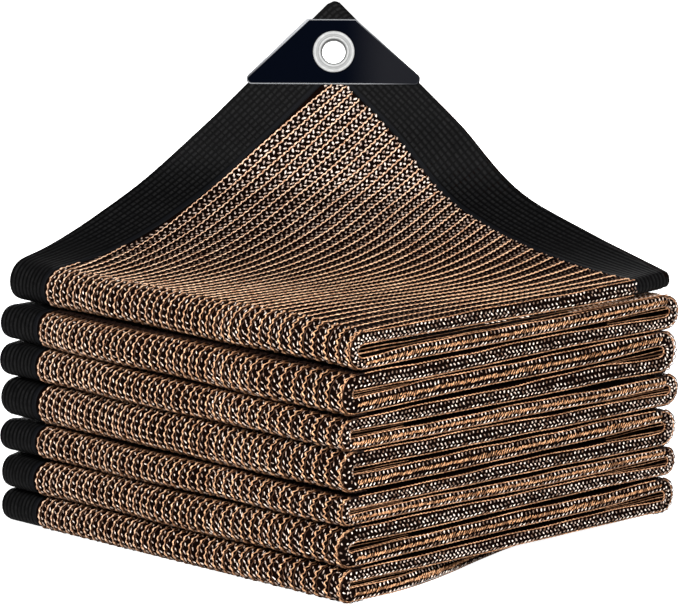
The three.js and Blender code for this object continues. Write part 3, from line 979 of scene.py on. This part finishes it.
def slitThreads(gap):
    # the edge of a ply shows as a thin thread in each slit
    y = np.linspace(5 - halfDepth, halfDepth - 5, 120)
    least, *threads = edgeLook["threads"]
    lifted = edgeLook["lifted"] if gap == 1 else 0
    y = y[parting(gap, y) + lifted > least]
    if len(y) < 8:
        return
    opening = parting(gap, y) + lifted
    x = min(halfLength - 1.6, float(freeEdge(gap + 1, y).min()) - halfLength - 1.2)
    for share, thickness in threads:
        z = level(gap, x, y) + lifted / 2 + share * opening * (1 + 0.4 * np.sin(y / 31 + gap * 2.2))
        drift = point(x, y, z + 0.1 * np.sin(y / 5 + gap))[None]
        width = thickness * opening[None] * (1 + 0.3 * np.cos(y * 2.2))
        # painted shade of the dark slit on its threads, changing slowly along them
        shade = 0.5 + 0.25 * np.sin(y / 11 + gap + share * 9)[None]
        yield tubes(drift, 0 * drift + (1.0, 0, 0), width, width, shade)


def buildEdges():
    rng = np.random.default_rng(11)
    lines, strokes, dashes = [], [], []
    start, total = int(stationAt("outerRun", 29.4)), len(strip["section"]) - 2
    for section in range(sectionCount):
        first, last = sectionRange(section)
        span = (max(first, start), min(last, total))
        lower = section % 4 == 2
        look = edgeLook["lower" if lower else "upper"]
        lines += [edgeTube(*span, angle, section + number) for number, angle in enumerate(look["lines"])]
        dashes += [edgeDashes(*span, *row, look["dash"], rng) for row in look["rows"]]
        if lower:
            lay = (edgeLook["rope"], rng, *edgeLook["ropeLay"])
            strokes += [edgeDashes(*span, *row, *lay) for row in edgeLook["ropeRows"]]
    lines += [thread for gap in range(1, layerCount) for thread in slitThreads(gap)]
    groups = {"Tan": (lines, tan), "Orange": (strokes, yarns["orange"]), "Dashes": (dashes, yarns["cream"])}
    return addStrands("edge", **groups)


strandPieces += buildEdges()

# Ribbed tape round the bound edge and round the lifted hem
tape = {
    "thickness": 0.75,
    "ribs": 10,
    "rib": 2.7,
    "ribHeight": 0.34,
    # a plain margin before the first rib: its width, places and depth
    "margin": 3.0,
    "marginPlaces": (0, 1.3, 2.6),
    "marginLift": -0.15,
    "weft": 3.4,
    "weftShare": 0.85,
    "black": (0.0036, 0.0036, 0.0038),
    "worn": (0.0094, 0.0094, 0.0096),
    # painted shade in the grooves between ribs, also the tone of the weave's cross lines
    "grooveShade": (0.0002, 0.0002, 0.0003),
    "inner": (0.0032, 0.0035, 0.0044),
    "steps": (2.6, 2.0, 26.0),
    # the end tape: where it begins and its rows along the hem, and the reach of its ribs
    "seam": 0.3,
    "hemRows": ((235, 44), (240, 6)),
    "hemReach": 30.0,
    "merge": 2e-5,
}
# places across the tape from its inner edge: the margin, then four steps to a rib
ribSteps = np.arange(4 * tape["ribs"] + 1) / 4
tapeChart = np.concatenate([tape["marginPlaces"], tape["margin"] + tape["rib"] * ribSteps])
ribLift = tape["ribHeight"] * (np.abs(np.sin(math.pi * ribSteps)) ** 0.7 - 1)
tapeLift = np.concatenate([[tape["marginLift"]] * len(tape["marginPlaces"]), ribLift])


def tapeSteps(reach):
    # distances of the same places on a tape whose crown lies at this reach
    ribbed = tape["margin"] + (reach - tape["margin"]) * ribSteps / tape["ribs"]
    return np.concatenate([tape["marginPlaces"], ribbed])


def tapeMaterial():
    material, shader, wire = newMaterial("ribbedTape", 0.7, Specular_IOR_Level=0.06)
    chart = wire.node("ShaderNodeUVMap", {"uv_map": "knit"})
    across = wire.node("ShaderNodeSeparateXYZ", inputs={0: chart})
    along = across.output(1)
    dust = noise(wire, 420.0, 4.0)
    past = across.maths("GREATER_THAN", across, tape["margin"] - 0.4)
    ridge = ((across - tape["margin"]) * (math.pi / tape["rib"])).maths("SINE").maths("ABSOLUTE")
    cross = (along * (math.pi / tape["weft"])).maths("SINE").maths("ABSOLUTE")
    # cross lines show on the lifted corner only
    onFlap = along.maths("LESS_THAN", along, stack["sail"] - 16)
    weft = ranged(cross, 0.5, 0.2) * past * onFlap * tape["weftShare"]
    cloth = blendColours(ranged(dust, 0.35, 0.7), tape["black"], tape["worn"])
    crossed = blendColours(weft, blendColours(1 - past, cloth, tape["inner"]), tape["grooveShade"])
    # painted shade darkens the grooves between the ribs
    feed(shader, "Base Color", blendColours(ranged(ridge, 0.95, 0.4) * past, crossed, tape["grooveShade"]))
    addBump(shader, dust, 0.2, 0.00025)
    return material


ribbedTape = tapeMaterial()


def tapePiece(name, rings, charts):
    piece = addPiece(name, gridData(name, np.array(rings), tape["merge"], np.array(charts)), ribbedTape)
    solidify = piece.modifiers.new("thickness", "SOLIDIFY")
    solidify.thickness = tape["thickness"] * mm
    solidify.offset = -1
    solidify.use_even_offset = False
    return piece


def boundEdge(v):
    past = np.clip(v - (stack["sail"] - stack["corner"]), 0, stack["corner"])
    return float(stack["corner"] - np.sqrt(stack["corner"] ** 2 - past**2))


def sideRow(middleAt, start, full):
    # across the tape, from its inner edge on the outer face, round the crown, to the inner face
    ends, halves = middleAt(np.array([start, start + 2.0]))
    radius = float(np.linalg.norm(halves[1])) * max(full, 0.02)
    bend = radius * quarter
    reach = stack["tape"] - start - radius + bend
    steps = tapeSteps(reach)
    distance = np.concatenate([reach - steps, steps[-2::-1] - reach])
    lift = np.concatenate([tapeLift, tapeLift[-2::-1]])
    bent = np.abs(distance) < bend
    angle = np.where(bent, distance / radius, np.sign(distance) * quarter)
    u = start + np.where(bent, radius * (1 - np.cos(angle)), radius + np.abs(distance) - bend)
    middle, half = middleAt(u)
    rise = np.sin(angle)[:, None]
    normal = unit(half) * rise + unit(ends[:1] - ends[1:]) * np.cos(angle)[:, None]
    return middle + half * full * rise + normal * lift[:, None] * min(full * 1.5, 1)


def buildSideTape():
    rings = []
    for angle in np.radians([0, 25, 50, 75, 90]):
        v = stack["sail"] - stack["hem"] / 2 * (1 - math.cos(angle))
        rings.append(sideRow(lambda u, v=v: middleAndHalf(sailFaces(u, v)), boundEdge(v), math.sin(angle)))
    rows = coarseRows(*tape["steps"])
    for k in rows[rows > 4]:
        v = strip["v"][int(k)] if k < len(strip["v"]) else 0.0
        rings.append(sideRow(lambda u, k=k: sample(u, k), boundEdge(v), 1.0))
    rings = np.array(rings)
    across = np.concatenate([tapeChart, tapeChart[-2::-1]])
    along = travelled(rings[:, len(tapeChart) - 1])
    charts = np.stack(np.broadcast_arrays(across, along[:, None]), -1)
    return tapePiece("sideTape", rings, charts)


def buildEndTape():
    # rows run from the tape's inner edge to the hem, across both faces and round the free edge
    (middleEnd, middleRows), (endBegin, endRows) = tape["hemRows"]
    begin = stack["tape"] + tape["seam"]
    farRows = np.linspace(endBegin, foldLength, endRows)
    u = np.concatenate([np.linspace(begin, middleEnd, middleRows), farRows])
    half = sailThickness(u, stack["sail"]) / 2
    rings, charts = [], []
    for share, place, lift in zip(tapeSteps(tape["hemReach"]) / tape["hemReach"], tapeChart, tapeLift):
        back = (1 - share) * (stack["tape"] + half * (quarter - 1))
        bent = back < half * quarter
        angle = np.where(bent, back / half, quarter)
        full = np.sin(angle)
        v = stack["sail"] - np.where(bent, half * (1 - np.cos(angle)), half + back - half * quarter)
        middle, across = middleAndHalf(sailFaces(u, v))
        rise = (across + unit(across) * lift) * full[:, None]
        radius = np.linalg.norm(across[-1])
        flat = u <= foldLength - radius
        turned = []
        for turn in np.radians(np.linspace(80, -80, 9)):
            uTurn = foldLength - radius * (1 - math.cos(turn))
            vTurn, grow = np.interp(uTurn, u, v), np.interp(uTurn, u, full) * math.sin(turn)
            m, h = middleAndHalf(sailFaces(uTurn, vTurn))
            outwards = unit(sailPoint(foldLength, vTurn) - sailPoint(foldLength - 2, vTurn))
            turned.append(m + (h + unit(h) * lift) * grow + outwards * math.cos(turn) * lift)
        ring = np.concatenate([(middle + rise)[flat], turned, (middle - rise)[flat][::-1]])
        rings.append(ring)
        along = travelled(ring)
        charts.append(np.stack([0 * along + place, along], -1))
    least = min(len(ring) for ring in rings)
    return tapePiece("endTape", [ring[:least] for ring in rings], [chart[:least] for chart in charts])


sideTape = buildSideTape()
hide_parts("side_binding")
endTape = buildEndTape()
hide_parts("end_binding")
print("tape faces:", len(sideTape.data.polygons), len(endTape.data.polygons))

# Corner plates: rounded trapeziums of glossy dark plastic, with a painted sheen across the face and a
# painted highlight on the bevel
plates = {
    # corners of the outline: across and down from the cloth's tip
    "corners": ((-14.2, 12.0), (-50.6, 46.5), (50.6, 46.5), (11.6, 12.0)),
    "radii": (1.2, 3.0, 3.0, 1.2),
    "out": 0.3,
    "thickness": 1.3,
    "bevel": 0.6,
    # painted sheen on the face and painted highlight on the bevel: first and second colour, and where
    # across one turns into the other
    "face": ((0.0003, 0.0009, 0.0030), (0.0080, 0.0083, 0.0104), (4, 30)),
    "edge": ((0.21, 0.215, 0.225), (0.02, 0.021, 0.024), (10, 46)),
    # painted highlight along the left slope: colour, where it ends across, and where it fades out and is
    # full
    "slope": ((0.30, 0.305, 0.32), (1.5, 0.96), (-58, -16)),
}


def smoothAlong(wire, start, axis, span):
    # 0 to 1 between two distances from a point along an axis
    dot = {"operation": "DOT_PRODUCT"}
    reach = wire.node("ShaderNodeVectorMath", dot, {0: objectPlace(wire), 1: tuple(axis)}, 1)
    low, high = (distance * mm for distance in span)
    return ranged(reach - float(np.dot(start, axis)) * mm, low, high, "SMOOTHSTEP")


def plateMaterial(name, first, second, span):
    material, shader, wire = newMaterial(name, 0.5, Specular_IOR_Level=0.003)
    pale, width, fade = plates["slope"]
    (across, down), (footAcross, footDown) = plates["corners"][:2]
    inward = unit(tipAcross * (footDown - down) + tipDown * (across - footAcross))
    # painted highlight along the left slope of the plate
    slopeHighlight = smoothAlong(wire, tip + tipAcross * across + tipDown * down, inward, width)
    slopeHighlight = slopeHighlight * smoothAlong(wire, tip, tipAcross, fade)
    # painted sheen or highlight: the colour changes across the plate as the light would fall on it
    colour = blendColours(smoothAlong(wire, tip, tipAcross, span), first, second)
    feed(shader, "Base Color", blendColours(slopeHighlight, colour, pale))
    return material


def tipMatrix(across, down, out):
    place = tip + tipAcross * across + tipDown * down + tipNormal * out
    turn = Matrix((tipAcross, -tipDown, tipNormal)).transposed().to_4x4()
    return Matrix.Translation(Vector(place * mm)) @ turn


def roundedCorner(before, corner, after, radius, steps=9):
    # points of an arc that rounds one corner of a flat outline
    one, two = unit(before - corner), unit(after - corner)
    half = math.acos(float(np.dot(one, two))) / 2
    centre = corner + unit(one + two) * radius / math.sin(half)
    start, end = (corner + side * radius / math.tan(half) - centre for side in (one, two))
    return [centre + radius * unit(mix(start, end, t)) for t in np.linspace(0, 1, steps)]


def buildPlate(name, out):
    corners = np.array(plates["corners"]) * (1, -1)
    outline = []
    for index, radius in enumerate(plates["radii"]):
        outline += roundedCorner(corners[index - 1], corners[index], corners[(index + 1) % 4], radius)
    mesh = bmesh.new()
    face = mesh.faces.new([mesh.verts.new((x * mm, y * mm, 0)) for x, y in outline])
    made = bmesh.ops.extrude_face_region(mesh, geom=[face])["geom"]
    raised = [item for item in made if isinstance(item, bmesh.types.BMVert)]
    bmesh.ops.translate(mesh, verts=raised, vec=(0, 0, plates["thickness"] * mm))
    bmesh.ops.recalc_face_normals(mesh, faces=mesh.faces)
    rims = [edge for edge in mesh.edges if abs(edge.verts[0].co.z - edge.verts[1].co.z) < 1e-6]
    bmesh.ops.bevel(mesh, geom=rims, offset=plates["bevel"] * mm, segments=2, profile=0.5,
                    affect="EDGES", material=-1)
    mesh.normal_update()
    for face in mesh.faces:
        face.smooth = abs(face.normal.z) < 0.999
        face.material_index = int(0.1 < face.normal.z < 0.95 and face.normal.x < 0.45)
    bmesh.ops.transform(mesh, matrix=tipMatrix(0, 0, out), verts=mesh.verts)
    return addPiece(name, meshData(name, mesh, smooth=False), paintedSheenPlate, paintedHighlightEdge)


paintedSheenPlate = plateMaterial("paintedSheenPlate", *plates["face"])
paintedHighlightEdge = plateMaterial("paintedHighlightEdge", *plates["edge"])
frontPlate = buildPlate("frontPlate", plates["out"])
backPlate = buildPlate("backPlate", -stack["hem"] - plates["out"] - plates["thickness"])
for piece, node in ((frontPlate, "corner_plate_front"), (backPlate, "corner_plate_back")):
    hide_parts(node)

# Eyelet: a rolled profile spun round its axis
eyelet = {
    "down": 29.3,
    "bore": 7.1,
    "steps": 96,
    # radius and height over the middle of the cloth, from the barrel round the rim to the hole
    "profile": [
        (7.0, 0), (7.0, 3.2), (10.1, 3.55), (10.8, 3.75), (11.0, 4.1), (10.75, 4.5), (9.8, 4.8),
        (9.2, 4.8), (8.6, 4.464), (8.2, 4.776), (7.4, 4.8), (6.6, 4.392), (6.2, 3.66), (6.1, 2.6),
    ],
    # painted highlights and shade by the distance from the axis: dark in the hole, between the rims and
    # past the outer rim, bright on the rims
    "rings": [
        (6.0, 0.05), (6.7, 0.10), (7.1, 0.34), (7.7, 0.38), (8.1, 0.20),
        (9.4, 0.24), (9.9, 0.42), (10.6, 0.42), (11.2, 0.16),
    ],
    "spots": (0.16, 0.165, 0.16),
}
eyeletMatrix = tipMatrix(0, eyelet["down"], -stack["hem"] / 2)


def metalMaterial():
    material, shader, wire = newMaterial("rolledMetal", 0.35, Specular_IOR_Level=0.12)
    cloud = noise(wire, 500.0, 3.0)
    # distance from the eyelet's axis, measured in the plane of the plates
    inputs = {0: objectPlace(wire), 1: tuple((tip + tipDown * eyelet["down"] + tipNormal * 3) * mm)}
    reach = wire.node("ShaderNodeVectorMath", {"operation": "DISTANCE"}, inputs, 1)
    first, last = eyelet["rings"][0][0], eyelet["rings"][-1][0]
    places = [(radius - first) / (last - first) for radius, tone in eyelet["rings"]]
    tones = [(tone, tone * 1.01, tone) for radius, tone in eyelet["rings"]]
    stops = list(zip(places, tones))
    # the ramp paints the rims' highlights and the shade in the hole and the groove
    ramp = wire.node("ShaderNodeValToRGB", {"stops": stops}, {0: ranged(reach, first * mm, last * mm)})
    feed(shader, "Base Color", blendColours(ranged(cloud, 0.4, 0.66) * 0.3, ramp, eyelet["spots"]))
    feed(shader, "Roughness", 0.2 + cloud * 0.18)
    return material


def buildEyelet():
    profile = eyelet["profile"] + [(radius, -height) for radius, height in eyelet["profile"][:0:-1]]
    mesh = bmesh.new()
    verts = [mesh.verts.new((radius * mm, 0, height * mm)) for radius, height in profile]
    edges = [mesh.edges.new((a, b)) for a, b in zip(verts, verts[1:] + verts[:1])]
    bmesh.ops.spin(mesh, geom=verts + edges, cent=(0, 0, 0), axis=(0, 0, 1), angle=2 * math.pi,
                   steps=eyelet["steps"], use_merge=True)
    bmesh.ops.recalc_face_normals(mesh, faces=mesh.faces)
    bmesh.ops.transform(mesh, matrix=eyeletMatrix, verts=mesh.verts)
    return addPiece("rolledEyelet", meshData("rolledEyelet", mesh), metalMaterial())


rolledEyelet = buildEyelet()
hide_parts("eyelet")
print("eyelet faces:", len(rolledEyelet.data.polygons))


def boreEyelet(pieces):
    # the cloth, its tape and the plates are bored where the eyelet's barrel goes through
    mesh = bmesh.new()
    radius = eyelet["bore"] * mm
    bmesh.ops.create_cone(mesh, cap_ends=True, segments=48, radius1=radius, radius2=radius, depth=0.03)
    bmesh.ops.transform(mesh, matrix=eyeletMatrix, verts=mesh.verts)
    drill = addObject("eyeletBore", meshData("eyeletBore", mesh, smooth=False))
    for piece in pieces:
        bore = piece.modifiers.new("bore", "BOOLEAN")
        bore.operation = "DIFFERENCE"
        bore.solver = "EXACT"
        bore.object = drill
        graph = bpy.context.evaluated_depsgraph_get()
        bored = bpy.data.meshes.new_from_object(piece.evaluated_get(graph))
        piece.modifiers.clear()
        piece.data = bored
    bpy.data.objects.remove(drill)


boreEyelet((knitGround, sideTape, frontPlate, backPlate))
print("bored faces:", len(knitGround.data.polygons), len(sideTape.data.polygons))

# Floor, lights and camera
studio = {
    "azimuth": 45.773,
    "elevation": 11.383,
    "distance": 3699.2,
    "target": (0.0, 1.0, 120.0),
    # millimetres, from the focal length in pixels of a frame 679 wide
    "lens": 7113.8 * 1.003 * 36 / 679,
    "shift": (0.0010, -0.0036),
    "roll": 0.004,
    # azimuth, elevation, distance, size and power
    "lamps": {
        "keyLamp": (46, 28, 1300, 0.4, 28),
        "fillLamp": (92, 24, 1500, 0.6, 4),
        "leftLamp": (0, 24, 1500, 0.6, 3),
        "backLamp": (222, 14, 1500, 0.8, 14),
    },
    "lampTarget": (0, 0, 100),
    "floor": (0.8, 0.8, 0.8, 1),
    # light sent up by the floor and by the world: to the scene, and as the camera sees it
    "glow": ((0.14, 0.14, 0.14), (1.0, 1.0, 1.0)),
    "world": ((0.13, 0.13, 0.13), (1.0, 1.0, 1.0)),
}


def lookFrom(azimuth, elevation, distance, target):
    turn, rise = math.radians(azimuth), math.radians(elevation)
    back = Vector((math.sin(turn) * math.cos(rise), -math.cos(turn) * math.cos(rise), math.sin(rise)))
    place = Vector(target) * mm + back * distance * mm
    return Matrix.Translation(place) @ back.to_track_quat("Z", "Y").to_matrix().to_4x4()


camera = bpy.data.cameras.new("camera")
camera.lens = studio["lens"]
camera.sensor_width = 36
camera.shift_x, camera.shift_y = studio["shift"]
camera.clip_end = 50
cameraHolder = addObject("camera", camera)
view = lookFrom(*(studio[name] for name in ("azimuth", "elevation", "distance", "target")))
cameraHolder.matrix_world = view @ Matrix.Rotation(studio["roll"], 4, "Z")
bpy.context.scene.camera = cameraHolder

for name, (azimuth, elevation, distance, width, power) in studio["lamps"].items():
    lamp = bpy.data.lights.new(name, "AREA")
    lamp.size = width
    lamp.energy = power
    addObject(name, lamp).matrix_world = lookFrom(azimuth, elevation, distance, studio["lampTarget"])

world = bpy.data.worlds.new("studioWorld")
bpy.context.scene.world = world
world.use_nodes = True
background = world.node_tree.nodes["Background"]
seen = Wire(world.node_tree).node("ShaderNodeLightPath")
feed(background, "Color", blendColours(seen, *studio["world"]))

floorMesh = bmesh.new()
bmesh.ops.create_grid(floorMesh, x_segments=1, y_segments=1, size=30)
floor = addObject("floor", meshData("floor", floorMesh, smooth=False))
floorLook = {"Base_Color": studio["floor"], "Emission_Strength": 1}
floorMaterial, floorShader, floorWire = newMaterial("paleFloor", 0.9, **floorLook)
feed(floorShader, "Emission Color", blendColours(floorWire.node("ShaderNodeLightPath"), *studio["glow"]))
floor.data.materials.append(floorMaterial)

bpy.context.scene.view_settings.view_transform = "Standard"
